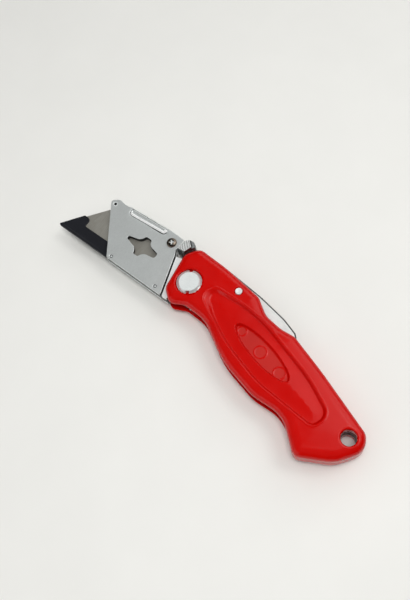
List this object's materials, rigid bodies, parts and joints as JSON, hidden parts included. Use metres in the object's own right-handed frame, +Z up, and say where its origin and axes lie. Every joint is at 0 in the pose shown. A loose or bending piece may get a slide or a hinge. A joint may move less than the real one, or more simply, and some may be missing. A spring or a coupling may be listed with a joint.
{
  "type": "folding utility knife",
  "caption": "Folding lock-back utility knife with a quick-change trapezoid blade, slip-on edge guard and two-shell contoured grip with a lanyard hole.",
  "frame": {"origin": "under the middle of the open knife, on the surface that it lies on", "axes": "+X from the blade's tip to the butt, +Y from the cutting edge to the spine, +Z up through the thickness"},
  "size_m": [0.1549, 0.0446, 0.014],
  "materials": {
    "red_shell": "smooth moulded gloss",
    "satin_plate": "fine satin",
    "bright_steel": "ground bright",
    "cast_tang": "machined satin",
    "spring_steel": "tempered",
    "blade_steel": "oiled, ground bevel",
    "guard_plastic": "satin",
    "spacer_plastic": "moulded",
    "brass": "turned",
    "dark_screw": "black-bronze plated"
  },
  "bodies": {
    "handle": {"upper_shell": "red_shell", "lower_shell": "red_shell", "back_spacer": "spacer_plastic", "lock_bar_pin": "bright_steel", "lock_spring": "spring_steel", "handle_screws": "dark_screw", "handle_inserts": "brass", "pivot_bolt": "bright_steel", "pivot_nut": "bright_steel", "pivot_washers": "brass"},
    "head": {"blade_carrier": "cast_tang", "upper_cover": "satin_plate", "lower_cover": "satin_plate", "ear_rivet": "bright_steel", "cover_screw": "dark_screw", "lever_pin": "bright_steel", "release_spring": "spring_steel"},
    "lock": {"lock_bar": "bright_steel"},
    "release": {"release_lever": "spring_steel", "release_button": "satin_plate"},
    "blade": {"blade": "blade_steel"},
    "guard": {"blade_guard": "guard_plastic"}
  },
  "joints": [
    {"name": "head_fold", "type": "hinge", "parent": "handle", "child": "head", "pos_m": [-0.0122, 0.00705, 0.007], "axis": [0, 0, 1], "range_deg": [0, 165]},
    {"name": "lock_release", "type": "hinge", "parent": "handle", "child": "lock", "pos_m": [0.0062, 0.01515, 0.007], "axis": [0, 0, -1], "range_deg": [0, 3.5], "stiffness_Nm_per_rad": 0.6, "springref_deg": -3.44, "deforming": ["lock_spring"]},
    {"name": "button_press", "type": "hinge", "parent": "head", "child": "release", "pos_m": [-0.0347, 0.01795, 0.007], "axis": [0, 0, -1], "range_deg": [0, 4.5], "stiffness_Nm_per_rad": 0.2, "springref_deg": -3.44, "deforming": ["release_spring"]},
    {"name": "blade_slide", "type": "slide", "parent": "head", "child": "blade", "axis": [1, 0, 0], "range_m": [-0.045, 0]},
    {"name": "guard_slide", "type": "slide", "parent": "blade", "child": "guard", "axis": [1, 0, 0], "range_m": [-0.03, 0]}
  ]
}
